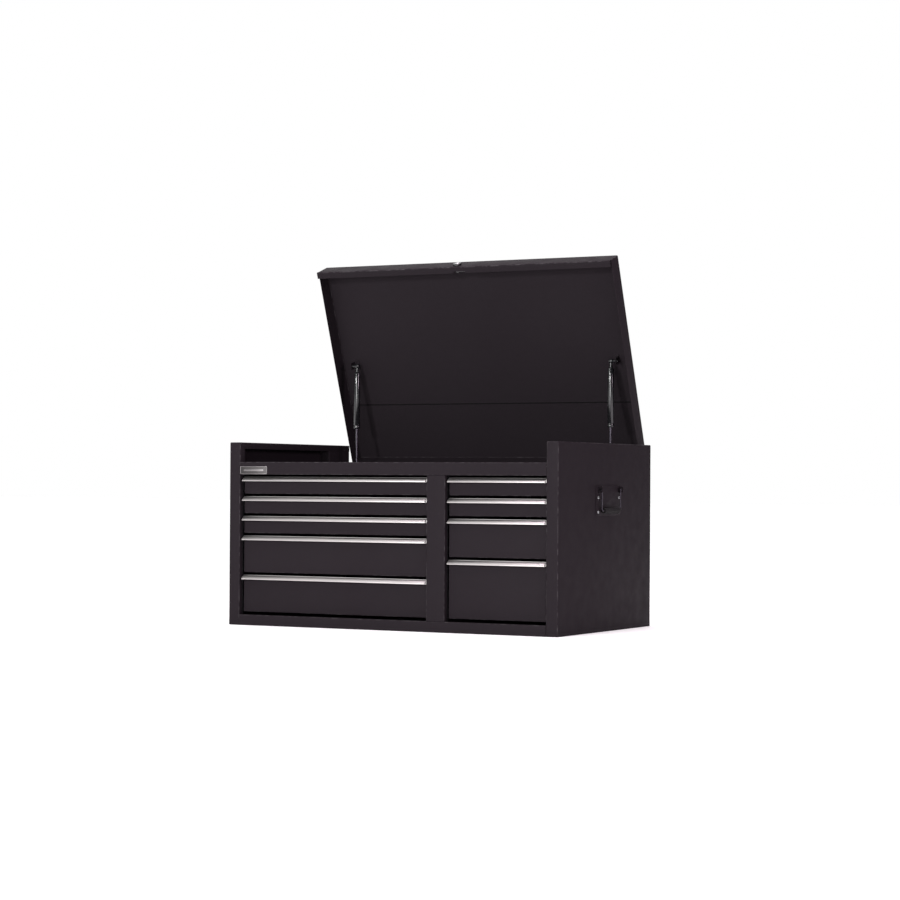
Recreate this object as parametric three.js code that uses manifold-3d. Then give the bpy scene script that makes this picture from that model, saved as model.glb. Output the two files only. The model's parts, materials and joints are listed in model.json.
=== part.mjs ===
// A nine-drawer steel tool chest: two drawer banks side by side under a hinged, strut-held lid.
// Units are millimetres. X runs across the front, -Y is the front, +Z is up.
// The origin is the centre of the case's underside.
import * as THREE from "three";
import { mergeVertices } from "three/addons/utils/BufferGeometryUtils.js";
import Module from "manifold-3d";

const wasm = await Module();
wasm.setup();

// ---------------------------------------------------------------- driving dimensions
const WIDTH = 1041; // across the outer faces of the side panels
const DEPTH = 610; // front plane to rear plane
const SIDE_HEIGHT = 520; // underside to the side panels' rim
const SHEET = 1.2; // steel sheet thickness
const GAP = 0.3; // between pieces that touch
const COLUMN = 35; // width of each front column, and of every return of a side panel
const LEFT_BAY = 607; // clear width of the wide drawer bank
const POST = 57; // width of the post between the banks
const RAIL_TOP = 30; // top edge of the bottom rail
const HEADER_BOTTOM = 428.5; // lower and upper edges of the header above the drawers
const HEADER_TOP = 464;
const TILL_FLOOR = 431; // underside of the tray under the lid
const UNIT = 55.9; // height pitch of one drawer unit
const FIRST_PULL_TOP = 422.3; // upper edge of the top drawers' fronts
const LEFT_UNITS = [1, 1, 1, 2, 2]; // drawer heights from the top down
const RIGHT_UNITS = [1, 1, 2, 3];
const FRONT_RECESS = 14; // drawer fronts sit this far behind the front plane
const FRONT_SIDE_GAP = 6; // drawer front to the edge of its opening
const LID_OPEN = THREE.MathUtils.degToRad(70); // lid angle at rest

// ---------------------------------------------------------------- derived dimensions
const HALF = WIDTH / 2;
const FRONT = -DEPTH / 2;
const BACK = DEPTH / 2;
const INNER = HALF - COLUMN; // inner edge of the columns and of the rim
const POST_LEFT = LEFT_BAY - INNER; // left and right faces of the post
const POST_RIGHT = POST_LEFT + POST;
const FRAME_FIT = INNER - GAP; // half width of what fits between the columns
const JAMB_DEPTH = 24; // how far a column's edge turns back
const RAIL_RETURN = 18; // depth of the folds that stiffen the rail and header
const HEADER_RETURN = 30;
const LIP_DROP = 18; // inner lip hanging from the rim

const COLOURS = {
  paint: { color: 0x2b282b, roughness: 0.5, metalness: 0.15 },
  aluminium: { color: 0xc9c6c2, roughness: 0.35, metalness: 0.9 },
  zinc: { color: 0xa9abad, roughness: 0.4, metalness: 0.85 },
  blackSteel: { color: 0x17181a, roughness: 0.35, metalness: 0.4 },
  chrome: { color: 0xd8dadb, roughness: 0.12, metalness: 1.0 },
  rubber: { color: 0x121213, roughness: 0.8, metalness: 0.0 },
};

// ---------------------------------------------------------------- geometry helpers
function solidOf(geometry) {
  const bare = geometry.clone();
  bare.deleteAttribute("normal");
  bare.deleteAttribute("uv");
  const merged = mergeVertices(bare, 1e-4);
  return new wasm.Manifold(
    new wasm.Mesh({
      numProp: 3,
      vertProperties: new Float32Array(merged.attributes.position.array),
      triVerts: new Uint32Array(merged.index.array),
    }),
  );
}

function geometryOf(solid) {
  const mesh = solid.getMesh();
  const geometry = new THREE.BufferGeometry();
  geometry.setAttribute("position", new THREE.BufferAttribute(mesh.vertProperties, 3));
  geometry.setIndex(new THREE.BufferAttribute(mesh.triVerts, 1));
  geometry.computeVertexNormals();
  return geometry;
}

// Faces that share a plane leave slivers where they were joined: these are merged away.
const SLIVER = 0.01;
const cleaned = (solid) => geometryOf(solid.asOriginal().simplify(SLIVER));
const join = (pieces) => cleaned(pieces.map(solidOf).reduce((a, b) => a.add(b)));
const cut = (base, tools) =>
  cleaned(tools.map(solidOf).reduce((left, tool) => left.subtract(tool), solidOf(base)));

// A box between two limits on each axis; the limits may come in either order. Its corners are
// set to the limits themselves, so faces that should lie in one plane do, to the last digit.
function slab(...limits) {
  const box = new THREE.BoxGeometry(1, 1, 1);
  const corners = box.attributes.position;
  for (let i = 0; i < corners.count; i++) {
    limits.forEach((limit, axis) => {
      const far = corners.getComponent(i, axis) > 0;
      corners.setComponent(i, axis, far ? Math.max(...limit) : Math.min(...limit));
    });
  }
  return box;
}

// A round bar along X, Y or Z, from a to b on that axis, centred on the other two coordinates.
function bar(axis, radius, a, b, centre, sides = 16) {
  const rod = new THREE.CylinderGeometry(radius, radius, Math.abs(b - a), sides);
  if (axis === "x") rod.rotateZ(Math.PI / 2);
  if (axis === "z") rod.rotateX(Math.PI / 2);
  const middle = (a + b) / 2;
  const [u, v] = centre;
  if (axis === "x") return rod.translate(middle, u, v);
  if (axis === "y") return rod.translate(u, middle, v);
  return rod.translate(u, v, middle);
}

const both = (side, a, b) => [side * a, side * b];

function add(parent, name, geometry, look) {
  const mesh = new THREE.Mesh(geometry, new THREE.MeshStandardMaterial(COLOURS[look]));
  mesh.name = name;
  parent.add(mesh);
  return mesh;
}

const SIDES = [
  ["left", -1],
  ["right", 1],
];

// ---------------------------------------------------------------- case
// One sheet folded round all four edges: the front fold is the column beside the drawers,
// and the top fold is the rim, with a lip hanging from its inner edge.
function sidePanel(side) {
  const across = both(side, INNER, HALF);
  const innerSheet = both(side, INNER, INNER + SHEET);
  const fullHeight = [0, SIDE_HEIGHT];
  const fullDepth = [FRONT, BACK];
  return join([
    slab(both(side, HALF - SHEET, HALF), fullDepth, fullHeight),
    slab(across, [FRONT, FRONT + SHEET], fullHeight),
    slab(across, [BACK - SHEET, BACK], fullHeight),
    slab(across, fullDepth, [0, SHEET]),
    slab(across, fullDepth, [SIDE_HEIGHT - SHEET, SIDE_HEIGHT]),
    slab(innerSheet, fullDepth, [SIDE_HEIGHT - LIP_DROP, SIDE_HEIGHT]),
    slab(innerSheet, [FRONT, FRONT + JAMB_DEPTH], fullHeight),
  ]);
}

// Angle post behind the side panel: it carries the rear ends of the drawer slides.
const UPRIGHT_DEPTH = 120;
const UPRIGHT_FRONT = BACK - UPRIGHT_DEPTH;
const BACK_INNER = BACK - SHEET - GAP - SHEET; // inner face of the back panel
const UPRIGHT_TOP = SIDE_HEIGHT - LIP_DROP - GAP;

function rearUpright(side) {
  const height = [SHEET + GAP, UPRIGHT_TOP];
  const outer = HALF - SHEET - GAP;
  return join([
    slab(both(side, INNER, outer), [UPRIGHT_FRONT, UPRIGHT_FRONT + SHEET], height),
    slab(both(side, INNER, INNER + SHEET), [UPRIGHT_FRONT, BACK_INNER - GAP], height),
  ]);
}

// Floor and front rail are one sheet; the rail folds back again at its top edge.
function bottomPanel() {
  const across = [-FRAME_FIT, FRAME_FIT];
  return join([
    slab(across, [FRONT, BACK - SHEET - GAP], [0, SHEET]),
    slab(across, [FRONT, FRONT + SHEET], [0, RAIL_TOP]),
    slab(across, [FRONT, FRONT + RAIL_RETURN], [RAIL_TOP - SHEET, RAIL_TOP]),
  ]);
}

// The back panel stops below the hinge, so the back is open between the rims while the lid is up.
const HINGE_INSET = 0.8; // hinge line in front of the rear plane
const HINGE_Y = BACK - HINGE_INSET;
const HINGE_Z = 461;
const BELOW_HINGE = 6;
const BACK_PANEL_TOP = HINGE_Z - BELOW_HINGE;

function backPanel() {
  const edge = HALF - SHEET - GAP;
  return slab([-edge, edge], [BACK_INNER, BACK_INNER + SHEET], [SHEET + GAP, BACK_PANEL_TOP]);
}

// Channel above the drawers. The slot in its top lets the lock's cam hook under it.
const LOCK_X = -13; // key cylinder, a little left of the middle
const CAM_Y = FRONT + 17; // plane in which the cam turns
const CAM_THICK = 2.5;
const CAM_REACH = 28;
const CAM_BOSS = 8; // radius of the cam's round end
const CAM_HALF = 5; // half width of its arm
const SLOT_CLEAR = 3; // free space round the cam in its slots

function frontHeader() {
  const across = [-FRAME_FIT, FRAME_FIT];
  const channel = join([
    slab(across, [FRONT, FRONT + SHEET], [HEADER_BOTTOM, HEADER_TOP]),
    slab(across, [FRONT, FRONT + HEADER_RETURN], [HEADER_TOP - SHEET, HEADER_TOP]),
    slab(across, [FRONT, FRONT + RAIL_RETURN], [HEADER_BOTTOM, HEADER_BOTTOM + SHEET]),
  ]);
  return cut(channel, [camSlot(HEADER_TOP - 2 * SHEET, HEADER_TOP + SHEET)]);
}

// The slot that the cam sweeps through, in the header and in the lid's return lip.
function camSlot(bottom, top) {
  const halfDepth = CAM_THICK / 2 + SLOT_CLEAR;
  return slab(
    [LOCK_X - CAM_BOSS, LOCK_X + CAM_REACH + SLOT_CLEAR],
    [CAM_Y - halfDepth, CAM_Y + halfDepth],
    [bottom, top],
  );
}

// Channel between the two banks: its front is the post, its walls carry the inner slides.
const WALL_SHORT = 8; // walls end this far from the back panel
const WALL_END = BACK_INNER - WALL_SHORT;
const TILL_UNDERSIDE_FIT = TILL_FLOOR - GAP;

function centrePartition() {
  const nose = [RAIL_TOP + GAP, HEADER_BOTTOM - GAP];
  const walls = [
    [POST_LEFT, POST_LEFT + SHEET],
    [POST_RIGHT - SHEET, POST_RIGHT],
  ];
  return join([
    slab([POST_LEFT, POST_RIGHT], [FRONT, FRONT + SHEET], nose),
    ...walls.map((wall) => slab(wall, [FRONT, FRONT + HEADER_RETURN], nose)),
    ...walls.map((wall) =>
      slab(wall, [FRONT + RAIL_RETURN + GAP, WALL_END], [SHEET + GAP, TILL_UNDERSIDE_FIT]),
    ),
  ]);
}

// Tray floor under the lid, notched round the jambs and the rear uprights.
function tillFloor() {
  const edge = HALF - SHEET - GAP;
  const height = [TILL_FLOOR, TILL_FLOOR + SHEET];
  const sheet = slab([-edge, edge], [FRONT + SHEET + GAP, BACK_INNER - GAP], height);
  const through = [TILL_FLOOR - 1, TILL_FLOOR + SHEET + 1];
  const notches = SIDES.flatMap(([, side]) => [
    slab(both(side, FRAME_FIT, HALF), [FRONT, FRONT + JAMB_DEPTH + GAP], through),
    slab(both(side, FRAME_FIT, HALF), [UPRIGHT_FRONT - GAP, BACK], through),
  ]);
  return cut(sheet, notches);
}

// ---------------------------------------------------------------- piano hinge
const BARREL = 3;
const PIN = 1.1;
const PIN_BORE = 1.5;
const KNUCKLES = 9;
const LID_SIDE_INSET = 38.5; // lid's side from the side panel's outer face
const LID_HALF = HALF - LID_SIDE_INSET;
const HINGE_HALF = LID_HALF - 2.5; // the hinge stops just short of the lid's ends
const LEAF_WIDTH = 24;
const LEAF_CLEAR = 1; // leaf's flat part to the barrel
const KNUCKLE_TIE = 2; // how far the barrel's tie overlaps the leaf

// One leaf in the hinge's own frame: the pin lies on X through the origin, direction +1 is up.
function hingeLeaf(direction) {
  const pitch = (2 * HINGE_HALF) / KNUCKLES;
  const parity = direction > 0 ? 1 : 0;
  const outerFace = BACK - HINGE_Y;
  const plate = [outerFace - SHEET, outerFace];
  const pieces = [
    slab([-HINGE_HALF, HINGE_HALF], plate, [direction * (BARREL + LEAF_CLEAR), direction * LEAF_WIDTH]),
  ];
  for (let i = parity; i < KNUCKLES; i += 2) {
    const span = [-HINGE_HALF + i * pitch + GAP, -HINGE_HALF + (i + 1) * pitch - GAP];
    pieces.push(bar("x", BARREL, span[0], span[1], [0, 0], 12));
    pieces.push(slab(span, plate, [0, direction * (BARREL + KNUCKLE_TIE)]));
  }
  return cut(join(pieces), [bar("x", PIN_BORE, -HALF, HALF, [0, 0], 12)]);
}

// ---------------------------------------------------------------- lid, in the hinge's frame, closed
const CLOSED_TOP = 524.5; // lid's upper face above the case's underside
const LID_PROUD = 1; // lid's front face in front of the front plane
const LID_REAR_INSET = 1.5;
const LID_TOP = CLOSED_TOP - HINGE_Z;
const LID_FRONT = FRONT - LID_PROUD - HINGE_Y;
const LID_REAR = BACK - LID_REAR_INSET - HINGE_Y;
const LID_SIDE_DROP = 50;
const LID_FRONT_DROP = 60;
const LID_LIP = 19;
const LID_REAR_BOTTOM = 5;
const LOCK_DROP = 41; // lock's centre below the lid's top face
const LOCK_Z = LID_TOP - LOCK_DROP;
const LOCK_RADIUS = 9.5;
const LOCK_CLEAR = 0.5; // lid's hole round the cylinder
const BEZEL_RADIUS = 12;
const BEZEL_DEPTH = 7;
const KEYWAY = { half: 3.5, halfHeight: 0.8, depth: 6 };
const STIFFENER_REACH = 171; // how far the hinge stiffener runs forward under the lid
const STIFFENER_CLEAR = 2; // its ends to the lid's side flanges, its edge above theirs

function lidShell() {
  const across = [-LID_HALF, LID_HALF];
  const deep = [LID_FRONT, LID_REAR];
  const lipZ = LID_TOP - LID_FRONT_DROP;
  const shell = join([
    slab(across, deep, [LID_TOP - SHEET, LID_TOP]),
    slab(across, [LID_FRONT, LID_FRONT + SHEET], [lipZ, LID_TOP]),
    slab(across, [LID_FRONT, LID_FRONT + LID_LIP], [lipZ, lipZ + SHEET]),
    slab(across, [LID_REAR - SHEET, LID_REAR], [LID_REAR_BOTTOM, LID_TOP]),
    ...SIDES.map(([, side]) =>
      slab(both(side, LID_HALF - SHEET, LID_HALF), deep, [LID_TOP - LID_SIDE_DROP, LID_TOP]),
    ),
  ]);
  const holeEnds = [LID_FRONT - SHEET, LID_FRONT + 2 * SHEET];
  const lockHole = bar("y", LOCK_RADIUS + LOCK_CLEAR, ...holeEnds, [LOCK_X, LOCK_Z], 24);
  const slot = camSlot(0, 2 * SHEET).translate(0, -HINGE_Y, lipZ - SHEET / 2);
  return cut(shell, [lockHole, slot]);
}

// Angle that spreads the hinge's load over the rear third of the lid.
function lidStiffener() {
  const half = LID_HALF - SHEET - STIFFENER_CLEAR;
  const rear = LID_REAR - SHEET - GAP;
  const top = LID_TOP - SHEET - GAP;
  return join([
    slab([-half, half], [LID_REAR - STIFFENER_REACH, rear], [top - SHEET, top]),
    slab([-half, half], [rear - SHEET, rear], [LID_REAR_BOTTOM + STIFFENER_CLEAR, top]),
  ]);
}

// Key cylinder: a chromed face in front of the lid's flange, its barrel behind.
function lockCylinder() {
  const face = LID_FRONT - GAP;
  const barrelEnd = CAM_Y - HINGE_Y - CAM_THICK / 2 - GAP;
  const centre = [LOCK_X, LOCK_Z];
  const body = join([
    bar("y", LOCK_RADIUS, face - BEZEL_DEPTH / 2, barrelEnd, centre, 24),
    bar("y", BEZEL_RADIUS, face - BEZEL_DEPTH, face, centre, 24),
  ]);
  const keyway = slab(
    [LOCK_X - KEYWAY.half, LOCK_X + KEYWAY.half],
    [face - 2 * BEZEL_DEPTH, face - BEZEL_DEPTH + KEYWAY.depth],
    [LOCK_Z - KEYWAY.halfHeight, LOCK_Z + KEYWAY.halfHeight],
  );
  return cut(body, [keyway]);
}

// Cam on the back of the cylinder, unlocked: it points along +X and turns down to lock.
function lockCam() {
  const y = CAM_Y - HINGE_Y;
  const plate = [y - CAM_THICK / 2, y + CAM_THICK / 2];
  const hookTip = LOCK_X + CAM_REACH;
  return join([
    bar("y", CAM_BOSS, plate[0], plate[1], [LOCK_X, LOCK_Z], 16),
    slab([LOCK_X, hookTip], plate, [LOCK_Z - CAM_HALF, LOCK_Z + CAM_HALF]),
  ]);
}

// ---------------------------------------------------------------- gas struts
const STRUT_INSET = 98; // strut's centre line behind the side panel's outer face
const STRUT_X = HALF - STRUT_INSET;
const STRUT_LOWER = { y: BACK - 64, z: 447 }; // lower ball
const STRUT_OPEN_LENGTH = 313.6;
const TUBE_RADIUS = 9.2;
const TUBE_WALL = 1.4;
const ROD_RADIUS = 4;
const TUBE_BELOW_BALL = 190; // lower end of the tube below the upper ball
const TUBE_TOP_BELOW_BALL = 18;
const TUBE_END = 6; // thickness of the closed upper end and of the rod's guide
const TUBE_CHAMFER = 1;
const TUBE_SHOULDER = 3;
const NECK_RADIUS = 4.5; // upper end fitting's stem
const STEM_RADIUS = 5; // lower end fitting's stem
const STEM_LENGTH = 16;
const RUNNING_FIT = 0.4; // rod in its guide, piston in the tube
const PISTON_THICK = 6;
const PISTON_ABOVE_MOUTH = 8;
const SOCKET_RADIUS = 6.5;
const SOCKET_HALF = 6; // half length of an end fitting across the strut
const STUD_RADIUS = 4;
const EAR_INSET = 17.5; // bracket ear outboard of the strut's centre line
const EAR_THICK = 1.6;
const EAR_HALF = 10;
const EAR_BEYOND = 8; // ear's end beyond the stud
const FOOT_HALF = 15;
const BALL_GAP = 0.7; // free space between a stud and the end fitting beside it
const UPPER_Z = STRUT_LOWER.z + STRUT_OPEN_LENGTH;

function strutTube(side) {
  const bottom = UPPER_Z - TUBE_BELOW_BALL;
  const top = UPPER_Z - TUBE_TOP_BELOW_BALL;
  const inner = TUBE_RADIUS - TUBE_WALL;
  const mouth = ROD_RADIUS + RUNNING_FIT;
  const profile = [
    [mouth, bottom],
    [TUBE_RADIUS - TUBE_CHAMFER, bottom],
    [TUBE_RADIUS, bottom + TUBE_CHAMFER],
    [TUBE_RADIUS, top - TUBE_SHOULDER],
    [STEM_RADIUS, top],
    [0, top],
    [0, top - TUBE_END],
    [inner, top - TUBE_END],
    [inner, bottom + TUBE_END],
    [mouth, bottom + TUBE_END],
    [mouth, bottom],
  ].map(([r, z]) => new THREE.Vector2(r, z));
  const x = side * STRUT_X;
  const tube = new THREE.LatheGeometry(profile, 16).rotateX(Math.PI / 2);
  tube.translate(x, STRUT_LOWER.y, 0);
  const socket = [x - SOCKET_HALF, x + SOCKET_HALF];
  return join([
    tube,
    bar("z", NECK_RADIUS, top - TUBE_CHAMFER, UPPER_Z, [x, STRUT_LOWER.y], 12),
    bar("x", SOCKET_RADIUS, socket[0], socket[1], [STRUT_LOWER.y, UPPER_Z], 16),
  ]);
}

// Piston rod with its piston, standing in the lower end fitting.
function strutRod(side) {
  const x = side * STRUT_X;
  const { y, z } = STRUT_LOWER;
  const piston = UPPER_Z - TUBE_BELOW_BALL + PISTON_ABOVE_MOUTH;
  const pistonTop = piston + PISTON_THICK;
  return join([
    bar("x", SOCKET_RADIUS, x - SOCKET_HALF, x + SOCKET_HALF, [y, z], 16),
    bar("z", STEM_RADIUS, z, z + STEM_LENGTH, [x, y], 12),
    bar("z", ROD_RADIUS, z, pistonTop, [x, y], 12),
    bar("z", TUBE_RADIUS - TUBE_WALL - RUNNING_FIT, piston, pistonTop, [x, y], 16),
  ]);
}

// Angle bracket with a stud that points inboard at the strut's end fitting. It is drawn round
// the stud's own axis: the foot lies on the +Z or -Z side, at the given distance.
function strutBracket(side, footDistance) {
  const earInner = STRUT_X + EAR_INSET;
  const ear = both(side, earInner, earInner + EAR_THICK);
  const foot = both(side, STRUT_X + 1, earInner + EAR_THICK);
  const up = Math.sign(footDistance);
  const studTip = STRUT_X + SOCKET_HALF + BALL_GAP;
  return join([
    slab(ear, [-EAR_HALF, EAR_HALF], [-up * EAR_BEYOND, footDistance]),
    slab(foot, [-FOOT_HALF, FOOT_HALF], [footDistance - up * EAR_THICK, footDistance]),
    bar("x", STUD_RADIUS, side * studTip, side * (earInner + EAR_THICK), [0, 0], 16),
  ]);
}

// ---------------------------------------------------------------- side handles
const HANDLE_Y = FRONT + 316;
const HANDLE_HALF = 80;
const HANDLE_BOTTOM = 320;
const HANDLE_TOP = 404;
const PIVOT_Z = 392;
const PIVOT_OUT = 10.5; // pivot axis outboard of the side panel
const GRIP_Z = 334;
const GRIP_RADIUS = 8;
const LEG_Y = 61; // each leg of the bail from the handle's middle
const LEG_RADIUS = 4;
const PIVOT_RADIUS = 3;
const PIVOT_BORE = 3.3;
const PLATE_THICK = 1.5;
const HANDLE_EAR = { from: LEG_Y + 6, to: LEG_Y + 8.5, out: 16, half: 9 };
const PIVOT_TIP = LEG_Y + 10;

function handlePlate(side) {
  const face = HALF + GAP;
  const plate = slab(
    both(side, face, face + PLATE_THICK),
    [HANDLE_Y - HANDLE_HALF, HANDLE_Y + HANDLE_HALF],
    [HANDLE_BOTTOM, HANDLE_TOP],
  );
  const ears = [-1, 1].map((end) =>
    slab(
      both(side, face, face + HANDLE_EAR.out),
      [HANDLE_Y + end * HANDLE_EAR.from, HANDLE_Y + end * HANDLE_EAR.to],
      [PIVOT_Z - HANDLE_EAR.half, PIVOT_Z + HANDLE_EAR.half],
    ),
  );
  const x = side * (HALF + PIVOT_OUT);
  const through = [HANDLE_Y - HANDLE_HALF, HANDLE_Y + HANDLE_HALF];
  const pinHole = bar("y", PIVOT_BORE, ...through, [x, PIVOT_Z], 16);
  return cut(join([plate, ...ears]), [pinHole]);
}

function handleBail(side) {
  const x = side * (HALF + PIVOT_OUT);
  const reach = LEG_Y + LEG_RADIUS;
  const pieces = [
    bar("y", GRIP_RADIUS, HANDLE_Y - reach, HANDLE_Y + reach, [x, GRIP_Z], 16),
  ];
  for (const end of [-1, 1]) {
    const across = (distance) => HANDLE_Y + end * distance;
    const knee = [across(LEG_Y - LEG_RADIUS), across(reach)];
    pieces.push(bar("z", LEG_RADIUS, GRIP_Z, PIVOT_Z, [x, across(LEG_Y)], 12));
    pieces.push(bar("y", LEG_RADIUS, ...knee, [x, PIVOT_Z], 12));
    pieces.push(bar("y", PIVOT_RADIUS, across(LEG_Y), across(PIVOT_TIP), [x, PIVOT_Z], 12));
  }
  return join(pieces);
}

// ---------------------------------------------------------------- drawers and slides
const FACE_Y = FRONT + FRONT_RECESS;
const FACE_GAP = 7.5; // height left between a drawer front and the next pull below
const SLIDE_ROOM = 13; // bay wall to drawer box on each side
const BEHIND_BOX = 37;
const BOX_END = BACK - BEHIND_BOX;
const BOX_LIFT = 3; // box floor above the front's lower edge
const BOX_BELOW_TOP = 9; // box walls below the front's upper edge
const UNDER_PULL = 2; // front's own edge below the top of its pull
const SLIDE_ABOVE_FLOOR = 16;
const CHANNEL_HALF = 7; // half height of a slide's fixed channel
const CHANNEL_OUT = 9; // how far it stands out from the wall
const RUNNER_HALF = 4.5;
const RUNNER_CLEAR = 1.9; // runner's edge to the channel's web
const SLIDE_FROM = FRONT + 20;
const SLIDE_TO = BACK - 42;
const RUNNER_DEPTH = [SLIDE_FROM + 2, SLIDE_TO - 8];
const FRONT_STRIP = [FRONT + 15, FRONT + 23]; // strips that hang the slides
const REAR_STRIP = [UPRIGHT_FRONT + 5, UPRIGHT_FRONT + 35];
const STRIP_CLEAR = 3; // their ends to the rail and the header

// Drawer slots from the top down: upper edge of the front, its lower edge, the slide's height.
function drawerSlots(units) {
  let above = 0;
  return units.map((count) => {
    const top = FIRST_PULL_TOP - above * UNIT;
    above += count;
    const bottom = top - count * UNIT + FACE_GAP;
    return { top, bottom, slideZ: bottom + BOX_LIFT + SLIDE_ABOVE_FLOOR };
  });
}

const BANKS = [
  { name: "left", from: -INNER, to: POST_LEFT, slots: drawerSlots(LEFT_UNITS) },
  { name: "right", from: POST_RIGHT, to: INNER, slots: drawerSlots(RIGHT_UNITS) },
];

// All the fixed channels on one wall of a bank, on the two upright strips that hang them.
// inward is +1 where the bay lies on the +X side of the wall.
function slideRack(wall, inward, slots) {
  const at = (a, b) => [wall + inward * a, wall + inward * b];
  const web = at(GAP, GAP + SHEET);
  const strip = [RAIL_TOP + STRIP_CLEAR, HEADER_BOTTOM - STRIP_CLEAR];
  const pieces = [slab(web, FRONT_STRIP, strip), slab(web, REAR_STRIP, strip)];
  for (const { slideZ } of slots) {
    const deep = [SLIDE_FROM, SLIDE_TO];
    pieces.push(slab(web, deep, [slideZ - CHANNEL_HALF, slideZ + CHANNEL_HALF]));
    for (const way of [-1, 1]) {
      const edge = slideZ + way * CHANNEL_HALF;
      pieces.push(slab(at(GAP, GAP + CHANNEL_OUT), deep, [edge - way * SHEET, edge]));
    }
  }
  return join(pieces);
}

// Folded box with its front panel and the two runners that ride in the racks.
function drawerBox({ from, to }, { top, bottom, slideZ }) {
  const left = from + SLIDE_ROOM;
  const right = to - SLIDE_ROOM;
  const floor = bottom + BOX_LIFT;
  const rim = top - BOX_BELOW_TOP;
  const deep = [FACE_Y, BOX_END];
  const runnerZ = [slideZ - RUNNER_HALF, slideZ + RUNNER_HALF];
  const runnerEdge = GAP + SHEET + RUNNER_CLEAR;
  const frontWidth = [from + FRONT_SIDE_GAP, to - FRONT_SIDE_GAP];
  return join([
    slab(frontWidth, [FACE_Y, FACE_Y + SHEET], [bottom, top - UNDER_PULL]),
    slab([left, right], deep, [floor, floor + SHEET]),
    slab([left, left + SHEET], deep, [floor, rim]),
    slab([right - SHEET, right], deep, [floor, rim]),
    slab([left, right], [BOX_END - SHEET, BOX_END], [floor, rim]),
    slab([from + runnerEdge, left + SHEET / 2], RUNNER_DEPTH, runnerZ),
    slab([right - SHEET / 2, to - runnerEdge], RUNNER_DEPTH, runnerZ),
  ]);
}

// Extruded pull along the top of a drawer front: a plate on the front, and a curved nose
// that slopes forward and down, with room for fingertips behind it.
const PULL_NOSE = 13.2;
const PULL_HEIGHT = 13;
const PULL_WALL = 1.6;
const PULL_LIP = 3; // upright part at the nose's lower edge
const OUTER_BEND = [PULL_NOSE * 0.62, -0.5]; // what the nose's two curves bend towards
const INNER_BEND = [PULL_NOSE * 0.5, -2.6];
const UNDERSIDE = -2.2; // where the inner curve meets the plate

function drawerPull({ from, to }, { top }) {
  const width = to - from - 2 * FRONT_SIDE_GAP;
  const back = GAP;
  const inner = PULL_NOSE - PULL_WALL;
  const section = new THREE.Shape();
  section.moveTo(back, -PULL_HEIGHT);
  section.lineTo(back, 0);
  section.quadraticCurveTo(...OUTER_BEND, PULL_NOSE, PULL_LIP - PULL_HEIGHT);
  section.lineTo(PULL_NOSE, -PULL_HEIGHT);
  section.lineTo(inner, -PULL_HEIGHT);
  section.lineTo(inner, PULL_LIP - PULL_HEIGHT);
  section.quadraticCurveTo(...INNER_BEND, back + PULL_WALL, UNDERSIDE);
  section.lineTo(back + PULL_WALL, -PULL_HEIGHT);
  section.closePath();
  const bent = new THREE.ExtrudeGeometry(section, {
    depth: width,
    bevelEnabled: false,
    curveSegments: 6,
  });
  // section x becomes -Y (forward), section y becomes +Z, the extrusion runs along X
  const turn = new THREE.Matrix4().makeBasis(
    new THREE.Vector3(0, -1, 0),
    new THREE.Vector3(0, 0, 1),
    new THREE.Vector3(-1, 0, 0),
  );
  return bent.applyMatrix4(turn).translate(to - FRONT_SIDE_GAP, FACE_Y, top);
}

// Blank badge on the header, beside the left column.
const BADGE = { width: 90, height: 22, thick: 1.3, inset: 1 };

function namePlate() {
  const face = FRONT - GAP;
  const left = BADGE.inset - INNER;
  const bottom = HEADER_BOTTOM + BADGE.inset;
  return slab([left, left + BADGE.width], [face - BADGE.thick, face], [bottom, bottom + BADGE.height]);
}

// ---------------------------------------------------------------- assembly
const chest = new THREE.Group();

for (const [word, side] of SIDES) {
  add(chest, `side_panel_${word}`, sidePanel(side), "paint");
  add(chest, `rear_upright_${word}`, rearUpright(side), "paint");
  add(chest, `handle_plate_${word}`, handlePlate(side), "blackSteel");
  add(chest, `handle_bail_${word}`, handleBail(side), "rubber");
  add(chest, `strut_rod_${word}`, strutRod(side), "chrome");
  add(chest, `strut_tube_${word}`, strutTube(side), "blackSteel");
  const footing = TILL_FLOOR + SHEET + GAP - STRUT_LOWER.z;
  const lower = add(chest, `strut_lower_bracket_${word}`, strutBracket(side, footing), "zinc");
  lower.position.set(0, STRUT_LOWER.y, STRUT_LOWER.z);
}
add(chest, "bottom_panel", bottomPanel(), "paint");
add(chest, "back_panel", backPanel(), "paint");
add(chest, "front_header", frontHeader(), "paint");
add(chest, "centre_partition", centrePartition(), "paint");
add(chest, "till_floor", tillFloor(), "paint");
add(chest, "name_plate", namePlate(), "aluminium");

for (const bank of BANKS) {
  add(chest, `slide_rack_${bank.name}_bank_left`, slideRack(bank.from, 1, bank.slots), "zinc");
  add(chest, `slide_rack_${bank.name}_bank_right`, slideRack(bank.to, -1, bank.slots), "zinc");
  bank.slots.forEach((slot, i) => {
    const name = `${bank.name}_drawer_${i + 1}`;
    add(chest, name, drawerBox(bank, slot), "paint");
    add(chest, `${name}_pull`, drawerPull(bank, slot), "aluminium");
  });
}

// The hinge's frame stands still; the lid turns in it about X, open at rest.
const hinge = new THREE.Group();
hinge.position.set(0, HINGE_Y, HINGE_Z);
chest.add(hinge);
add(hinge, "hinge_leaf_case", hingeLeaf(-1), "paint");
add(hinge, "hinge_pin", bar("x", PIN, -HINGE_HALF, HINGE_HALF, [0, 0], 8), "zinc");

const lid = new THREE.Group();
lid.rotation.x = -LID_OPEN;
hinge.add(lid);
add(lid, "hinge_leaf_lid", hingeLeaf(1), "paint");
add(lid, "lid_shell", lidShell(), "paint");
add(lid, "lid_stiffener", lidStiffener(), "paint");
add(lid, "lock_cylinder", lockCylinder(), "chrome");
add(lid, "lock_cam", lockCam(), "zinc");

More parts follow.
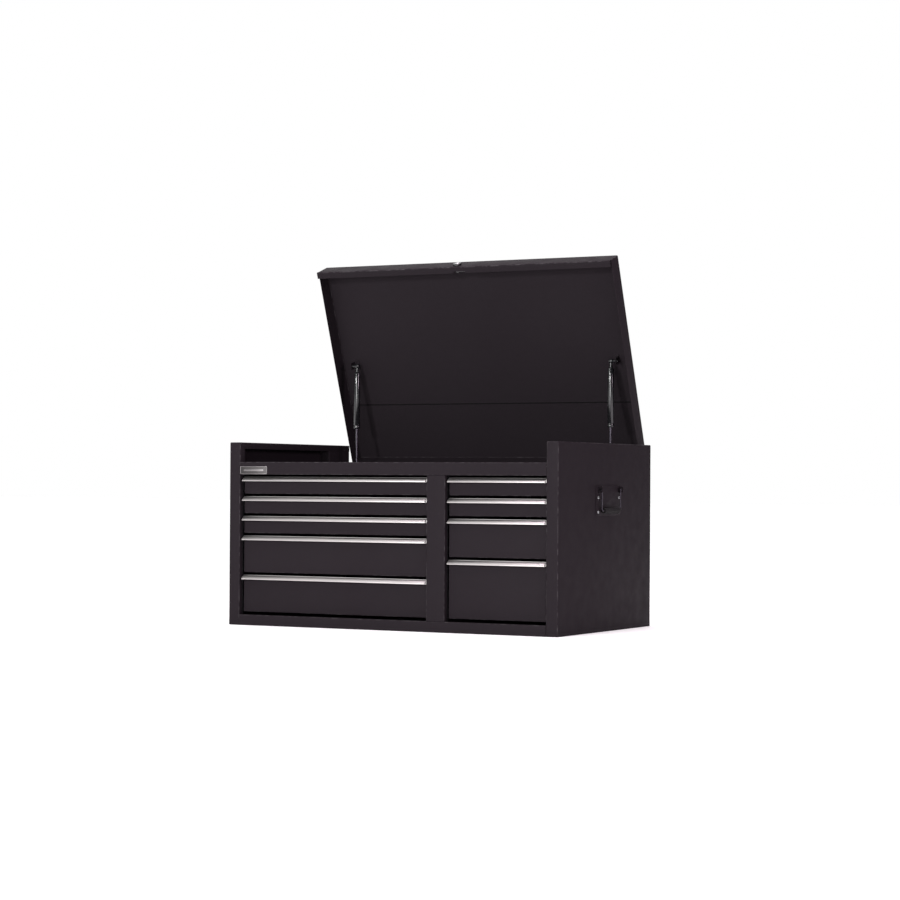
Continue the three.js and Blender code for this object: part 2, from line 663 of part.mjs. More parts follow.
// The upper stud's place in the closed lid, turned back from where the open strut ends.
const upperStud = new THREE.Vector2(STRUT_LOWER.y - HINGE_Y, UPPER_Z - HINGE_Z);
upperStud.rotateAround(new THREE.Vector2(0, 0), LID_OPEN);
const upperFoot = LID_TOP - SHEET - GAP - upperStud.y;
for (const [word, side] of SIDES) {
  const upper = add(lid, `strut_upper_bracket_${word}`, strutBracket(side, upperFoot), "zinc");
  upper.position.set(0, upperStud.x, upperStud.y);
}

export default chest;
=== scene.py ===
"""The looks of a nine-drawer steel tool chest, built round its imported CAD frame.

Everything is in metres in the frame's own axes: X runs across the front, -Y is the front and
+Z is up. Lid pieces are built as if the lid were shut, with the hinge at the origin, and are
then turned open with it.
"""
import json
import math

import bmesh
import bpy
from mathutils import Matrix, Vector


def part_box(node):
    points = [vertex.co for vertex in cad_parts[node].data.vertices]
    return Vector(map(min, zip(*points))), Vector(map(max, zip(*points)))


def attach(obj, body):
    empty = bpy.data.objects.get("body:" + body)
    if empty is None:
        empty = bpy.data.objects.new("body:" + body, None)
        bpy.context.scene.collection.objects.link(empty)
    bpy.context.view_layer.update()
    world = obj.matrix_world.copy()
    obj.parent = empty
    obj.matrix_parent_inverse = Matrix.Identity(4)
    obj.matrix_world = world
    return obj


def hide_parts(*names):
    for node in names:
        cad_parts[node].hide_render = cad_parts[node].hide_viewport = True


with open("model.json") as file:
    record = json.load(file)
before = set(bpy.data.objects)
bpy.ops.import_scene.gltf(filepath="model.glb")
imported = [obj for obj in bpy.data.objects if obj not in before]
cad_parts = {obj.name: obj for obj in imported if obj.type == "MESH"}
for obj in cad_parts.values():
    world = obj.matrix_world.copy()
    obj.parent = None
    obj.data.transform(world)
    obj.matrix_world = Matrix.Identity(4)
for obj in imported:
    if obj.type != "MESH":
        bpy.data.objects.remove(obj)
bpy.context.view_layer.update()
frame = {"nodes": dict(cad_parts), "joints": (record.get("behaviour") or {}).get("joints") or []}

MM = 0.001
SIDES = {"left": -1, "right": 1}
X, Y, Z = 0, 1, 2
JOINTS = {joint["name"]: joint for joint in frame["joints"]}

# ------------------------------------------------------------------ sizes taken from the frame
case_low, case_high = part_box("side_panel_right")
HALF = case_high.x
INNER = case_low.x
FRONT = case_low.y
BACK = case_high.y
RIM = case_high.z
partition_low, partition_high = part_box("centre_partition")
BAYS = {"left": (-INNER, partition_low.x), "right": (partition_high.x, INNER)}
DRAWERS = {"left": 5, "right": 4}
hinge = JOINTS["lid_hinge"]
HINGE = Vector(hinge["pos_m"])
LID = Matrix.Translation(HINGE) @ Matrix.Rotation(-math.radians(hinge["range_deg"][1]), 4, "X")

# ------------------------------------------------------------------ sizes of the sheet metal
SHEET = 1.2 * MM
FOLD = 2.4 * MM  # outside radius of a fold
JAMB = 24 * MM  # how far a column's edge turns back
RIM_LIP = 18 * MM
RAIL_RETURN = 18 * MM
CLEAR = 0.3 * MM
CAM_SLOT_HALF = 4.25 * MM  # the cam's slots, to either side of its plane
CAM_SLOT_CLEAR = 3 * MM  # and beyond the end of its arm


# ================================================================== mesh helpers
def new_mesh():
    """An empty mesh with the layer that marks where paint wears: 1 on a fold, 0 on a flat."""
    mesh = bmesh.new()
    mesh.verts.layers.float.new("wear")
    return mesh


def rect(axis, at, across, up, facing):
    """Corners of a flat rectangle. across and up are its limits on the other two axes, in order."""
    first, second = [i for i in (X, Y, Z) if i != axis]
    corners = []
    for a, b in ((0, 0), (1, 0), (1, 1), (0, 1)):
        corner = [0.0, 0.0, 0.0]
        corner[axis] = at
        corner[first] = sorted(across)[a]
        corner[second] = sorted(up)[b]
        corners.append(corner)
    looks_up_the_axis = axis != Y
    return corners if (facing > 0) == looks_up_the_axis else corners[::-1]


def rect_with_hole(axis, at, across, up, facing, hole_across, hole_up):
    """The four rectangles that leave a rectangular hole in a fifth."""
    return [
        rect(axis, at, (across[0], hole_across[0]), up, facing),
        rect(axis, at, (hole_across[1], across[1]), up, facing),
        rect(axis, at, hole_across, (up[0], hole_up[0]), facing),
        rect(axis, at, hole_across, (hole_up[1], up[1]), facing),
    ]


def split_where_touched(mesh):
    """Gives an edge a vertex wherever the corner of another face lies on it."""
    touch = 0.001 * MM
    for vert in list(mesh.verts):
        for edge in list(mesh.edges):
            if vert in edge.verts:
                continue
            start, end = (v.co for v in edge.verts)
            along = end - start
            share = (vert.co - start).dot(along) / along.length_squared
            if 1e-5 < share < 1 - 1e-5 and (start.lerp(end, share) - vert.co).length < touch:
                bmesh.utils.edge_split(edge, edge.verts[0], share)
    bmesh.ops.remove_doubles(mesh, verts=mesh.verts, dist=touch)


def evaluated(mesh, kind, **settings):
    """The mesh after one modifier, as a new mesh."""
    data = bpy.data.meshes.new("work")
    mesh.to_mesh(data)
    mesh.free()
    work = bpy.data.objects.new("work", data)
    bpy.context.scene.collection.objects.link(work)
    modifier = work.modifiers.new(kind, kind)
    for key, value in settings.items():
        setattr(modifier, key, value)
    graph = bpy.context.evaluated_depsgraph_get()
    result = bmesh.new()
    result.from_mesh(work.evaluated_get(graph).to_mesh())
    bpy.data.objects.remove(work)
    bpy.data.meshes.remove(data)
    return result


def folded_sheet(faces, radius=FOLD, thickness=SHEET, segments=4):
    """Sheet metal from the flat faces of its outer skin: each edge between two is a round fold."""
    mesh = new_mesh()
    for corners in faces:
        mesh.faces.new([mesh.verts.new(c) for c in corners])
    bmesh.ops.remove_doubles(mesh, verts=mesh.verts, dist=0.001 * MM)
    split_where_touched(mesh)
    mesh.normal_update()
    folds = [e for e in mesh.edges if len(e.link_faces) == 2 and e.calc_face_angle() > 0.1]
    if folds:
        rounded_off(mesh, folds, radius, segments)
    return evaluated(
        mesh, "SOLIDIFY", thickness=thickness, offset=-1, use_even_offset=True,
        use_quality_normals=True,
    )


def rounded_off(mesh, edges, radius, segments):
    """Rounds the edges and marks the vertices inside the new faces as worn, not those on their rim."""
    made = bmesh.ops.bevel(
        mesh, geom=edges, offset=radius, segments=segments, profile=0.5, affect="EDGES"
    )
    worn_faces = set(made["faces"])
    layer = mesh.verts.layers.float["wear"]
    for vert in mesh.verts:
        inside = vert.link_faces and all(face in worn_faces for face in vert.link_faces)
        vert[layer] = 1.0 if inside else 0.0


def block(low, high, radius, segments=2):
    """A solid box with rounded edges."""
    mesh = new_mesh()
    bmesh.ops.create_cube(mesh, size=1)
    low, high = Vector(low), Vector(high)
    for vert in mesh.verts:
        vert.co = Vector(low[i] if vert.co[i] < 0 else high[i] for i in (X, Y, Z))
    rounded_off(mesh, mesh.edges[:], radius, segments)
    return mesh


def prism(outline, axis, span, bevel=0.0):
    """A closed outline, counted on the two axes after this one, extruded along this axis."""
    mesh = new_mesh()
    second, third = (axis + 1) % 3, (axis + 2) % 3
    ends = []
    for at in span:
        ring = []
        for a, b in outline:
            corner = [0.0, 0.0, 0.0]
            corner[axis], corner[second], corner[third] = at, a, b
            ring.append(mesh.verts.new(corner))
        ends.append(ring)
    near, far = ends
    count = len(outline)
    for i in range(count):
        j = (i + 1) % count
        mesh.faces.new((near[i], near[j], far[j], far[i]))
    caps = [mesh.faces.new(near[::-1]), mesh.faces.new(far)]
    bmesh.ops.recalc_face_normals(mesh, faces=mesh.faces)
    if bevel:
        rounded_off(mesh, [edge for cap in caps for edge in cap.edges], bevel, 2)
    return mesh


def arc(centre, radius, start, end, steps):
    """Points on an arc, angles in degrees."""
    angles = [math.radians(start + (end - start) * i / steps) for i in range(steps + 1)]
    return [(centre[0] + radius * math.cos(a), centre[1] + radius * math.sin(a)) for a in angles]


def rounded_rectangle(across, up, radius, steps=6):
    """Outline of a rectangle with round corners."""
    (left, right), (low, high) = sorted(across), sorted(up)
    outline = arc((right - radius, low + radius), radius, -90, 0, steps)
    outline += arc((right - radius, high - radius), radius, 0, 90, steps)
    outline += arc((left + radius, high - radius), radius, 90, 180, steps)
    outline += arc((left + radius, low + radius), radius, 180, 270, steps)
    return outline


def turned(profile, place, direction, steps=32):
    """A turned piece. The profile is (radius, height) pairs; height runs along the direction."""
    mesh = new_mesh()
    rings = []
    for radius, height in profile:
        if radius < 1e-7:
            rings.append([mesh.verts.new((0, 0, height))])
            continue
        around = arc((0, 0), radius, 0, 360, steps)[:-1]
        rings.append([mesh.verts.new((x, y, height)) for x, y in around])
    for below, above in zip(rings, rings[1:]):
        for i in range(steps):
            j = (i + 1) % steps
            corners = [below[i % len(below)], below[j % len(below)]]
            corners += [above[j % len(above)], above[i % len(above)]]
            unique = list(dict.fromkeys(corners))
            if len(unique) > 2:
                mesh.faces.new(unique)
    for ring in (rings[0], rings[-1]):
        if len(ring) > 2:
            mesh.faces.new(ring)
    bmesh.ops.recalc_face_normals(mesh, faces=mesh.faces)
    turn = Vector(direction).to_track_quat("Z", "Y").to_matrix().to_4x4()
    mesh.transform(Matrix.Translation(place) @ turn)
    return mesh


def rounded_path(points, radius, steps=6):
    """A path through the points, in metres, with each inner corner turned into an arc."""
    points = [Vector(p) for p in points]
    path = [points[0]]
    for before, corner, after in zip(points, points[1:], points[2:]):
        back = (before - corner).normalized()
        ahead = (after - corner).normalized()
        half = back.angle(ahead) / 2
        centre = corner + (back + ahead).normalized() * radius / math.sin(half)
        start = corner + back * radius / math.tan(half) - centre
        end = corner + ahead * radius / math.tan(half) - centre
        path += [centre + start.slerp(end, i / steps) * radius for i in range(steps + 1)]
    return path + [points[-1]]


def rod_along(path, radius, sides=16):
    """A round rod along a path that stays in one plane."""
    mesh = new_mesh()
    spread = (path[1] - path[0]).cross(path[-1] - path[0])
    flat = spread if spread.length > 1e-9 else (path[1] - path[0]).orthogonal()
    flat = flat.normalized()
    rings = []
    for i, point in enumerate(path):
        ahead = path[min(i + 1, len(path) - 1)] - path[max(i - 1, 0)]
        out = flat.cross(ahead.normalized())
        circle = arc((0, 0), radius, 0, 360, sides)[:-1]
        rings.append([mesh.verts.new(point + flat * a + out * b) for a, b in circle])
    for below, above in zip(rings, rings[1:]):
        for i in range(sides):
            j = (i + 1) % sides
            mesh.faces.new((below[i], below[j], above[j], above[i]))
    mesh.faces.new(rings[0])
    mesh.faces.new(rings[-1])
    bmesh.ops.recalc_face_normals(mesh, faces=mesh.faces)
    return mesh


def merged(*parts):
    """Several meshes as one."""
    whole = new_mesh()
    for part in parts:
        data = bpy.data.meshes.new("part")
        part.to_mesh(data)
        part.free()
        whole.from_mesh(data)
        bpy.data.meshes.remove(data)
    return whole


def piece(name, mesh, look, body, stands_for=(), place=None):
    """Makes the finished object: smooth where it bends, riding on its body."""
    data = bpy.data.meshes.new(name)
    if place is not None:
        mesh.transform(place)
    mesh.to_mesh(data)
    mesh.free()
    data.polygons.foreach_set("use_smooth", [True] * len(data.polygons))
    data.set_sharp_from_angle(angle=math.radians(32))
    obj = bpy.data.objects.new(name, data)
    bpy.context.scene.collection.objects.link(obj)
    material, slot = LOOKS[look]
    data.materials.append(material)
    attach(obj, body)
    if stands_for:
        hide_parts(*stands_for)
    return obj


def lid_box(node):
    """Lowest and highest corner of a lid node, with the lid shut and the hinge at the origin."""
    shut = LID.inverted()
    corners = [shut @ v.co for v in frame["nodes"][node].data.vertices]
    return tuple(Vector(pick(c[i] for c in corners) for i in (X, Y, Z)) for pick in (min, max))


# ================================================================== materials
class Surface:
    """A material with a principled shader, and short ways to feed it textures."""

    def __init__(self, name, **sockets):
        self.material = bpy.data.materials.new(name)
        self.material.use_nodes = True
        self.tree = self.material.node_tree
        self.shader = self.tree.nodes["Principled BSDF"]
        self.place = self.tree.nodes.new("ShaderNodeTexCoord").outputs["Object"]
        for key, value in sockets.items():
            self.shader.inputs[key.replace("_", " ")].default_value = value

    def node(self, kind, inputs=None, **settings):
        made = self.tree.nodes.new("ShaderNode" + kind)
        for key, value in settings.items():
            setattr(made, key, value)
        for key, value in (inputs or {}).items():
            if isinstance(value, bpy.types.NodeSocket):
                self.tree.links.new(value, made.inputs[key])
            else:
                made.inputs[key].default_value = value
        return made

    def noise(self, size, detail=2.0, stretch=(1, 1, 1)):
        """Noise whose blobs are about this many metres across, stretched along the axes."""
        scaled = self.node("Mapping", {"Vector": self.place, "Scale": [1 / s for s in stretch]})
        made = self.node(
            "TexNoise", {"Vector": scaled.outputs[0], "Scale": 1 / size, "Detail": detail}
        )
        return made.outputs["Fac"]

    def ramp(self, factor, low, high, start, end):
        """A linear step of a value from low to high while the factor goes from start to end."""
        made = self.node(
            "MapRange",
            {"Value": factor, "From Min": start, "From Max": end, "To Min": low, "To Max": high},
        )
        return made.outputs["Result"]

    def mix(self, factor, first, second):
        made = self.node(
            "Mix", {"Factor": factor, 6: (*first, 1) if isinstance(first, tuple) else first,
                    7: (*second, 1) if isinstance(second, tuple) else second},
            data_type="RGBA",
        )
        return made.outputs[2]

    def math(self, operation, a, b):
        return self.node("Math", {0: a, 1: b}, operation=operation).outputs[0]

    def bump(self, *layers):
        """Bumps laid over each other, each a height and its depth in metres."""
        normal = None
        for height, depth in layers:
            inputs = {"Height": height, "Distance": depth, "Strength": 1.0}
            if normal is not None:
                inputs["Normal"] = normal
            normal = self.node("Bump", inputs).outputs["Normal"]
        self.set("Normal", normal)

    def set(self, socket, value):
        self.tree.links.new(value, self.shader.inputs[socket])

    def worn(self, broken_up):
        """How worn the surface is here: the folds, broken up by a noise."""
        edge = self.node("Attribute", attribute_name="wear").outputs["Fac"]
        return self.math("MULTIPLY", edge, self.ramp(broken_up, 0, 1, 0.45, 0.7))


def powder_coat():
    """Satin black powder coat: cloudy, with fine orange peel, rubbed lighter on the folds."""
    look = Surface("black_powder_coat", Metallic=0.0, Specular_IOR_Level=0.026)
    clouds = look.noise(0.3, 3)
    grain = look.noise(1.4 * MM, 2)
    rubbed = look.worn(look.noise(16 * MM, 4))
    colour = look.mix(clouds, (0.0132, 0.0102, 0.0125), (0.0162, 0.0131, 0.0156))
    colour = look.mix(look.ramp(grain, 0, 0.3, 0.5, 0.75), colour, (0.024, 0.0208, 0.0229))
    look.set("Base Color", look.mix(rubbed, colour, (0.045, 0.041, 0.044)))
    roughness = look.ramp(look.noise(40 * MM, 4), 0.48, 0.6, 0.3, 0.7)
    look.set("Roughness", look.math("SUBTRACT", roughness, look.math("MULTIPLY", rubbed, 0.08)))
    look.bump((look.noise(90 * MM, 1), 0.03 * MM), (look.noise(2.2 * MM, 2), 0.012 * MM))
    return look.material


def brushed_aluminium():
    """Clear anodised extrusion: fine lines along X, brightness drifting slowly along the bar."""
    look = Surface("brushed_aluminium", Metallic=1.0)
    lines = look.noise(0.6 * MM, 3, (260, 1, 1))
    broad = look.noise(3 * MM, 2, (60, 1, 1))
    drift = look.noise(0.09, 2)
    colour = look.mix(lines, (0.4, 0.384, 0.38), (0.56, 0.54, 0.53))
    look.set("Base Color", look.mix(look.ramp(drift, 0, 0.4, 0.4, 0.7), colour, (0.49, 0.463, 0.45)))
    look.set("Roughness", look.ramp(broad, 0.34, 0.44, 0.3, 0.7))
    look.bump((lines, 0.012 * MM), (broad, 0.02 * MM))
    return look.material


def zinc_plate(name, dark, light):
    """Zinc plate: faint spangle and a slightly uneven shine."""
    look = Surface(name, Metallic=0.95)
    spangle = look.node("TexVoronoi", {"Vector": look.place, "Scale": 1 / (4 * MM)})
    colour = look.mix(spangle.outputs["Color"], dark, light)
    look.set("Base Color", look.mix(look.noise(30 * MM, 3), colour, dark))
    look.set("Roughness", look.ramp(look.noise(6 * MM, 3), 0.26, 0.44, 0.3, 0.7))
    look.bump((look.noise(1.2 * MM, 2), 0.01 * MM))
    return look.material


def polished(name, dark, light, rough=0.15):
    """Polished metal with faint smears."""
    look = Surface(name, Metallic=1.0)
    smears = look.noise(9 * MM, 4)
    look.set("Base Color", look.mix(smears, dark, light))
    spread = 0.06
    look.set("Roughness", look.ramp(smears, rough - spread, rough + spread, 0.35, 0.75))
    look.bump((look.noise(3 * MM, 2), 0.004 * MM))
    return look.material


def gloss_black():
    """Gloss black enamel on the struts' tubes and end fittings, the studs and the lock."""
    look = Surface("gloss_black", Specular_IOR_Level=0.55)
    clouds = look.noise(20 * MM, 3)
    rubbed = look.worn(look.noise(7 * MM, 3))
    colour = look.mix(clouds, (0.004, 0.0042, 0.005), (0.008, 0.0084, 0.0095))
    look.set("Base Color", look.mix(rubbed, colour, (0.04, 0.041, 0.045)))
    look.set("Roughness", look.ramp(clouds, 0.16, 0.18, 0.3, 0.7))
    look.bump((look.noise(2.5 * MM, 2), 0.001 * MM))
    return look.material


def moulded_rubber(name, dark, light):
    """Matt black rubber with a fine pebble."""
    look = Surface(name, Specular_IOR_Level=0.1)
    pebble = look.noise(0.8 * MM, 2)
    dust = look.noise(14 * MM, 4)
    look.set("Base Color", look.mix(dust, dark, light))
    look.set("Roughness", look.ramp(dust, 0.6, 0.8, 0.3, 0.7))
    look.bump((pebble, 0.06 * MM))
    return look.material


def badge(name, dark, light):
    """Dull brushed metal of the blank badge."""
    look = Surface(name, Metallic=0.8)
    lines = look.noise(0.4 * MM, 3, (90, 1, 1))
    look.set("Base Color", look.mix(lines, dark, light))
    look.set("Roughness", look.ramp(lines, 0.38, 0.5, 0.3, 0.7))
    look.bump((lines, 0.01 * MM))
    return look.material


LOOKS = {
    "paint": (powder_coat(), "black_paint"),
    "aluminium": (brushed_aluminium(), "aluminium"),
    "badge": (badge("badge_border", (0.15, 0.14, 0.142), (0.23, 0.218, 0.22)), "aluminium"),
    "badge field": (badge("badge_field", (0.035, 0.032, 0.033), (0.075, 0.07, 0.07)), "aluminium"),
    "zinc": (zinc_plate("bright_zinc", (0.3, 0.305, 0.315), (0.43, 0.435, 0.445)), "zinc"),
    "black zinc": (zinc_plate("black_zinc", (0.018, 0.018, 0.02), (0.034, 0.034, 0.037)), "zinc"),
    "chrome": (polished("chrome", (0.62, 0.62, 0.63), (0.75, 0.75, 0.75)), "chrome"),
    "dark steel": (
        polished("dark_steel", (0.033, 0.029, 0.036), (0.055, 0.049, 0.06), 0.34), "chrome",
    ),
    "black steel": (gloss_black(), "black_steel"),
    "rubber": (
        moulded_rubber("moulded_rubber", (0.007, 0.0065, 0.007), (0.016, 0.015, 0.0155)), "rubber",
    ),
    # Near-black rubber for the bead at the lid stiffener's front edge, dark so that it paints the
    # seam's shade.
    "shade bead": (
        moulded_rubber("painted_seam_shade", (0.0012, 0.001, 0.0012), (0.0022, 0.002, 0.0022)), "rubber",
    ),
}


# ================================================================== fasteners
def rivet(place, direction, radius=3.2 * MM):
    """Low dome head of a pop rivet, with its hollow middle."""
    profile = [(radius, 0), (radius, 0.2 * MM), (0.92 * radius, 0.7 * MM), (0.6 * radius, 1.1 * MM)]
    profile += [(0.4 * radius, 1.15 * MM), (0.32 * radius, 0.5 * MM), (0, 0.45 * MM)]
    return turned(profile, place, direction, 20)


def pan_screw(place, direction, radius=4 * MM):
    """Pan head with a cross recess."""
    height = 2.4 * MM
    profile = [(radius, 0), (radius, 0.8 * MM), (0.93 * radius, 1.6 * MM), (0.7 * radius, height)]
    head = turned(profile + [(0, height)], (0, 0, 0), (0, 0, 1), 24)
    arm, width = 0.55 * radius, 0.14 * radius
    bars = [((-arm, -width), (arm, width)), ((-width, -arm), (width, arm))]
    recess = merged(
        *(block((*low, 0.4 * height), (*high, 1.2 * height), 0.05 * MM, 1) for low, high in bars)
    )
    data = bpy.data.meshes.new("recess")
    recess.to_mesh(data)
    recess.free()
    tool = bpy.data.objects.new("recess", data)
    bpy.context.scene.collection.objects.link(tool)
    cut = evaluated(head, "BOOLEAN", object=tool, operation="DIFFERENCE", solver="EXACT",
                    use_self=True)
    bpy.data.objects.remove(tool)
    turn = Vector(direction).to_track_quat("Z", "Y").to_matrix().to_4x4()
    cut.transform(Matrix.Translation(place) @ turn)
    return cut


# ================================================================== case
def side_panel(word, side):
    """One sheet folded round all four edges, with the column's jamb and the rim's lip."""
    across = sorted((side * INNER, side * HALF))
    deep, tall = (FRONT, BACK), (0, RIM)
    skin = [
        rect(X, side * HALF, deep, tall, side),
        rect(Y, FRONT, across, tall, -1),
        rect(Y, BACK, across, tall, 1),
        rect(Z, 0, across, deep, -1),
        rect(Z, RIM, across, deep, 1),
        rect(X, side * INNER, (FRONT, FRONT + JAMB), tall, -side),
        rect(X, side * INNER, (FRONT + JAMB, BACK), (RIM - RIM_LIP, RIM), -side),
    ]
    name = f"side_panel_{word}"
    piece(name, folded_sheet(skin), "paint", "case", [name])


def rear_upright(word, side):
    """Angle post inside the rear corner."""
    name = f"rear_upright_{word}"
    low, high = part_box(name)
    inner, outer = sorted((low.x, high.x), key=abs)
    skin = [
        rect(Y, low.y, (inner, outer), (low.z, high.z), -1),
        rect(X, inner, (low.y, high.y), (low.z, high.z), -side),
    ]
    piece(name, folded_sheet(skin), "paint", "case", [name])


def bottom_panel():
    """Floor and front rail in one sheet."""
    low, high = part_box("bottom_panel")
    across = (low.x, high.x)
    skin = [
        rect(Z, low.z, across, (low.y, high.y), -1),
        rect(Y, low.y, across, (low.z, high.z), -1),
        rect(Z, high.z, across, (low.y, low.y + RAIL_RETURN), 1),
    ]
    piece("bottom_panel", folded_sheet(skin), "paint", "case", ["bottom_panel"])


def back_panel():
    """Flat sheet behind the drawers, riveted to the side panels' rear folds."""
    low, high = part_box("back_panel")
    sheet = block(low, high, 0.3 * MM, 1)
    piece("back_panel", sheet, "paint", "case", ["back_panel"])
    inset, margin, count = 17 * MM, 40 * MM, 6
    heads = []
    for side in SIDES.values():
        for i in range(count):
            height = margin + (high.z - 2 * margin) * i / (count - 1)
            heads.append(rivet((side * (HALF - inset), BACK, height), (0, 1, 0)))
    piece("back_panel_rivets", merged(*heads), "paint", "case")


def front_header():
    """Channel above the drawers, with the slot that the lock's cam passes through."""
    low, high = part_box("front_header")
    across = (low.x, high.x)
    cam_low, cam_high = lid_box("lock_cam")
    slot_across = (cam_low.x - 1 * MM, cam_high.x + CAM_SLOT_CLEAR)
    cam_middle = HINGE.y + (cam_low.y + cam_high.y) / 2
    slot_deep = (cam_middle - CAM_SLOT_HALF, cam_middle + CAM_SLOT_HALF)
    skin = [
        rect(Y, low.y, across, (low.z, high.z), -1),
        rect(Z, low.z, across, (low.y, low.y + RAIL_RETURN), -1),
        *rect_with_hole(Z, high.z, across, (low.y, high.y), 1, slot_across, slot_deep),
    ]
    piece("front_header", folded_sheet(skin), "paint", "case", ["front_header"])


def centre_partition():
    """Post between the banks and the two inner walls behind it."""
    low, high = partition_low, partition_high
    rail_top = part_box("bottom_panel")[1].z
    header_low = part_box("front_header")[0].z
    nose = (rail_top + CLEAR, header_low - CLEAR)
    wall_start = FRONT + RAIL_RETURN + CLEAR
    skin = [rect(Y, FRONT, (low.x, high.x), nose, -1)]
    for at, facing in ((low.x, -1), (high.x, 1)):
        skin.append(rect(X, at, (FRONT, wall_start), nose, facing))
        skin.append(rect(X, at, (wall_start, high.y), (low.z, high.z), facing))
    piece("centre_partition", folded_sheet(skin), "paint", "case", ["centre_partition"])


def till_floor():
    """Floor of the tray under the lid, wider between the jambs and the rear uprights."""
    low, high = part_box("till_floor")
    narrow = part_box("front_header")[1].x
    ends_deep = (FRONT + JAMB + CLEAR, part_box("rear_upright_right")[0].y - CLEAR)
    skin = [rect(Z, high.z, (-narrow, narrow), (low.y, high.y), 1)]
    skin += [rect(Z, high.z, sorted((s * narrow, s * high.x)), ends_deep, 1) for s in (-1, 1)]
    piece("till_floor", folded_sheet(skin), "paint", "case", ["till_floor"])


def name_plate():
    """Blank badge: a raised border and a plain stripe on a darker field."""
    low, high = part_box("name_plate")
    border = 1.6 * MM
    across, up = (low.x, high.x), (low.z, high.z)
    plate = prism([(z, x) for x, z in rounded_rectangle(across, up, 2 * MM)], Y,
                  (low.y + 0.5 * MM, high.y), 0.15 * MM)
    corners = [
        ((low.x, low.z), (high.x, low.z + border)),
        ((low.x, high.z - border), (high.x, high.z)),
        ((low.x, low.z), (low.x + border, high.z)),
        ((high.x - border, low.z), (high.x, high.z)),
    ]
    middle, stripe, inset = (low.z + high.z) / 2, 2.5 * MM, 12 * MM
    corners.append(((low.x + inset, middle - stripe), (high.x - inset, middle + stripe)))
    bars = [
        block((a[0], low.y, a[1]), (b[0], high.y - 0.1 * MM, b[1]), 0.3 * MM) for a, b in corners
    ]
    piece("name_plate", merged(*bars), "badge", "case", ["name_plate"])
    piece("name_plate_field", plate, "badge field", "case")


# ================================================================== drawers and slides
SLIDE_ABOVE_FRONT = 19 * MM  # slide's middle above the drawer front's lower edge
CHANNEL_HALF = 7 * MM
CHANNEL_OUT = 9 * MM
SLIDE_FROM = FRONT + 20 * MM
SLIDE_TO = BACK - 42 * MM


def channel(wall, inward, middle, half, out, deep, thickness=SHEET):
    """C channel that stands on a wall and opens towards inward."""
    face = wall + inward * out
    skin = [
        rect(X, wall, deep, (middle - half, middle + half), -inward),
        rect(Z, middle - half, sorted((wall, face)), deep, -1),
        rect(Z, middle + half, sorted((wall, face)), deep, 1),
    ]
    return folded_sheet(skin, 1.5 * MM, thickness, 3)


def slide_height(bank, number):
    """Height of the middle of a drawer's slides."""
    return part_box(f"{bank}_drawer_{number}")[0].z + SLIDE_ABOVE_FRONT


def slide_rack(bank, word, wall, inward):
    """The fixed channels of one bay wall on their two hanging strips, each held by two rivets."""
    name = f"slide_rack_{bank}_bank_{word}"
    low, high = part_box(name)
    web = wall + inward * CLEAR
    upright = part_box("rear_upright_right")[0].y
    strips = ((FRONT + 15 * MM, FRONT + 23 * MM), (upright + 5 * MM, upright + 35 * MM))
    parts = []
    for deep in strips:
        limits = sorted((web, web + inward * SHEET))
        parts.append(block((limits[0], deep[0], low.z), (limits[1], deep[1], high.z), 0.3 * MM, 1))
    for number in range(1, DRAWERS[bank] + 1):
        middle = slide_height(bank, number)
        parts.append(
            channel(web, inward, middle, CHANNEL_HALF, CHANNEL_OUT, (SLIDE_FROM, SLIDE_TO))
        )
        for depth in (SLIDE_FROM + 25 * MM, SLIDE_TO - 20 * MM):
            start = web + inward * SHEET
            parts.append(rivet((start, depth, middle), (inward, 0, 0), 2.2 * MM))
    piece(name, merged(*parts), "black zinc", "case", [name])


def drawer(bank, number):
    """Front with folded edges, box with hemmed rims, and the two runners on its sides."""
    name = f"{bank}_drawer_{number}"
    low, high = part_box(name)
    pull_low, pull_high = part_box(name + "_pull")
    bay = BAYS[bank]
    face_across = (pull_low.x, pull_high.x)
    face_top = pull_high.z - 2 * MM
    turn_back = 11 * MM
    edge = (low.y, low.y + turn_back)
    face_tall = (low.z, face_top)
    front = [
        rect(Y, low.y, face_across, face_tall, -1),
        rect(X, face_across[0], edge, face_tall, -1),
        rect(X, face_across[1], edge, face_tall, 1),
        rect(Z, low.z, face_across, edge, -1),
        rect(Z, face_top, face_across, edge, 1),
    ]
    side_room = 13 * MM
    left, right = bay[0] + side_room, bay[1] - side_room
    floor, rim = low.z + 3 * MM, pull_high.z - 9 * MM
    deep = (low.y + SHEET, high.y)
    box = [
        rect(Z, floor, (left, right), deep, -1),
        rect(X, left, deep, (floor, rim), -1),
        rect(X, right, deep, (floor, rim), 1),
        rect(Y, high.y, (left, right), (floor, rim), 1),
    ]
    hem, hem_drop = 2.6 * MM, 8 * MM
    hems = [
        ((left, deep[0]), (left + hem, deep[1])),
        ((right - hem, deep[0]), (right, deep[1])),
        ((left, deep[1] - hem), (right, deep[1])),
    ]
    parts = [folded_sheet(front, 1.8 * MM), folded_sheet(box, 2 * MM)]
    parts += [block((*a, rim - hem_drop), (*b, rim + 0.2 * MM), 1.1 * MM, 3) for a, b in hems]
    piece(name, merged(*parts), "paint", name, [name])
    runners = []
    middle = slide_height(bank, number)
    runner_deep = (SLIDE_FROM + 2 * MM, SLIDE_TO - 8 * MM)
    for wall, outer, inward in ((left, low.x, -1), (right, high.x, 1)):
        runners.append(channel(wall, inward, middle, 4.5 * MM, abs(outer - wall), runner_deep))
    piece(name + "_runners", merged(*runners), "zinc", name)


